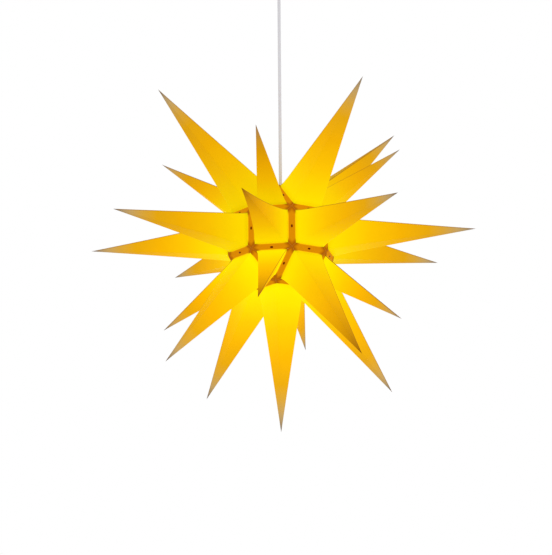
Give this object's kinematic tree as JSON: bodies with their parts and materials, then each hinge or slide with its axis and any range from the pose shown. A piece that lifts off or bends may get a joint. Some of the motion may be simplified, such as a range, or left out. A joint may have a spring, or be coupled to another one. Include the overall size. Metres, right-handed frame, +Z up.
{
  "type": "moravian star pendant",
  "caption": "Pendant lamp: a folded paper star of long hollow points pinned flap to flap round a lamp, hung on a cord from a ceiling cup.",
  "frame": {"origin": "middle of the ceiling face of the fitting, where it is screwed to the ceiling", "axes": "+Z up into the ceiling, the cord and the star hang along -Z; +X along the ceiling bracket and the hanger bar"},
  "size_m": [0.5997, 0.5997, 0.7749],
  "materials": {
    "star_paper": "matte",
    "pin_brass": "satin",
    "hanger_steel": "satin",
    "zinc_steel": "satin",
    "holder_plastic": "satin",
    "contact_ceramic": "matte",
    "contact_brass": "satin",
    "wire_insulation": "satin",
    "frosted_glass": "satin",
    "clear_glass": "gloss",
    "filament_wire": "satin",
    "bulb_cap_metal": "satin",
    "black_glass": "gloss",
    "canopy_plastic": "satin",
    "terminal_plastic": "satin",
    "cord_pvc": "satin",
    "sleeve_rubber": "matte"
  },
  "bodies": {
    "ceiling_fitting": {"canopy_cup": "canopy_plastic", "cord_bush": "canopy_plastic", "bush_nut": "canopy_plastic", "ceiling_bracket": "zinc_steel", "canopy_screws": "zinc_steel", "terminal_block": "terminal_plastic", "terminal_screws": "contact_brass", "block_screw": "zinc_steel", "canopy_lead": "cord_pvc", "canopy_conductors": "wire_insulation"},
    "sleeve": {"relief_sleeve": "sleeve_rubber", "sleeve_cord": "cord_pvc"},
    "cord": {"pendant_cord": "cord_pvc"},
    "star": {"belt_point_1": "star_paper", "belt_point_2": "star_paper", "belt_point_3": "star_paper", "belt_point_4": "star_paper", "belt_point_5": "star_paper", "belt_point_6": "star_paper", "belt_point_7": "star_paper", "belt_point_8": "star_paper", "upper_point_1": "star_paper", "upper_point_2": "star_paper", "upper_point_3": "star_paper", "upper_point_4": "star_paper", "lower_point_1": "star_paper", "lower_point_2": "star_paper", "lower_point_3": "star_paper", "lower_point_4": "star_paper", "small_upper_point_1": "star_paper", "small_upper_point_2": "star_paper", "small_upper_point_3": "star_paper", "small_upper_point_4": "star_paper", "small_lower_point_1": "star_paper", "small_lower_point_2": "star_paper", "small_lower_point_3": "star_paper", "small_lower_point_4": "star_paper", "bottom_point": "star_paper", "split_pins": "pin_brass", "hanger_bar": "hanger_steel", "holder_nipple": "zinc_steel", "lock_nut": "zinc_steel", "holder_cap": "holder_plastic", "holder_body": "holder_plastic", "cord_clamp": "holder_plastic", "contact_block": "contact_ceramic", "holder_screws": "contact_brass", "screw_shell": "contact_brass", "centre_contact": "contact_brass", "holder_conductors": "wire_insulation"},
    "bulb": {"bulb_glass": "frosted_glass", "bulb_stem": "clear_glass", "bulb_filament": "filament_wire", "bulb_cap": "bulb_cap_metal", "bulb_insulator": "black_glass", "bulb_contact": "bulb_cap_metal"}
  },
  "joints": [
    {"name": "swing_front_back", "type": "hinge", "parent": "ceiling_fitting", "child": "sleeve", "pos_m": [0, 0, -0.056], "axis": [1, 0, 0], "range_deg": [-25, 25]},
    {"name": "swing_side", "type": "hinge", "parent": "sleeve", "child": "cord", "pos_m": [0, 0, -0.084], "axis": [0, 1, 0], "range_deg": [-25, 25]},
    {"name": "turn_on_cord", "type": "hinge", "parent": "cord", "child": "star", "pos_m": [0, 0, -0.399], "axis": [0, 0, 1], "range_deg": [-180, 180]},
    {"name": "bulb_unscrew", "type": "slide", "parent": "star", "child": "bulb", "axis": [0, 0, -1], "range_m": [0, 0.019]}
  ]
}
